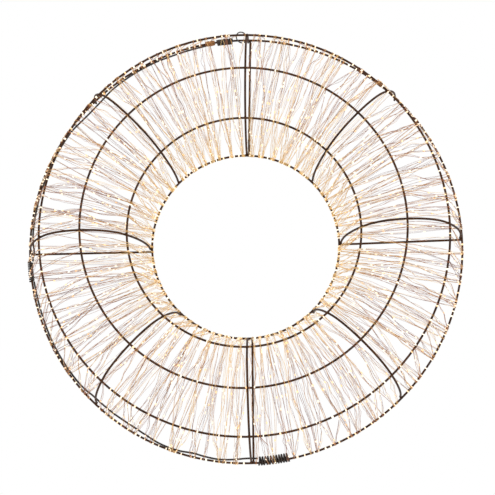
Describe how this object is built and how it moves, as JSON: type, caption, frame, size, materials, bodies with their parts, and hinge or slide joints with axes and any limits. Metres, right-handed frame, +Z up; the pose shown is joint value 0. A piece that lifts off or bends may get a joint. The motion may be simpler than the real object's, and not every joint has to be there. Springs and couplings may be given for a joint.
{
  "type": "wreath frame",
  "caption": "Deep wire wreath frame in a half-round section, wound all round with a fine copper light string and its dark lead, with a swinging wire hanging ring.",
  "frame": {"origin": "centre of the wreath on the wall plane, which touches the lead windings behind the outer back ring", "axes": "+Y into the wall, so the front faces -Y; +Z up through 12 o'clock and the hanging ring; +X to 3 o'clock as seen from the front"},
  "size_m": [0.5034, 0.1164, 0.5116],
  "materials": {
    "frame_wire": "thin dark brown lacquer on drawn steel wire, satin",
    "hanging_wire": "bare steel wire, dull grey",
    "light_string": "enamelled copper wire, hair thin, reddish brown to gold",
    "light_drop": "clear resin drops over small warm white lights",
    "lead": "soft dark brown to black insulation",
    "sleeve": "brown shrink sleeve with amber light in its folds"
  },
  "bodies": {
    "frame": {"outer_back_ring": "frame_wire", "inner_back_ring": "frame_wire", "outer_front_ring": "frame_wire", "crown_ring": "frame_wire", "inner_front_ring": "frame_wire", "rib_1": "frame_wire", "rib_2": "frame_wire", "rib_3": "frame_wire", "rib_4": "frame_wire", "rib_5": "frame_wire", "rib_6": "frame_wire", "rib_7": "frame_wire", "rib_8": "frame_wire", "back_spoke_1": "frame_wire", "back_spoke_2": "frame_wire", "back_spoke_3": "frame_wire", "back_spoke_4": "frame_wire", "light_string_1": "light_string", "light_string_2": "light_string", "light_string_3": "light_string", "light_string_4": "light_string", "light_string_5": "light_string", "light_string_6": "light_string", "light_string_7": "light_string", "light_string_8": "light_string", "joint_sleeve": "sleeve", "lead_winding_top": "lead", "lead_run_upper": "lead", "lead_winding_left": "lead", "lead_run_lower": "lead", "lead_winding_bottom": "lead", "string_tie": "sleeve"},
    "hanger": {"hanging_ring": "hanging_wire"}
  },
  "joints": [
    {"name": "hanger_swing", "type": "hinge", "parent": "frame", "child": "hanger", "pos_m": [-0.0049, -0.00335, 0.24875], "axis": [1, 0, 0], "range_deg": [-90, 90]}
  ]
}
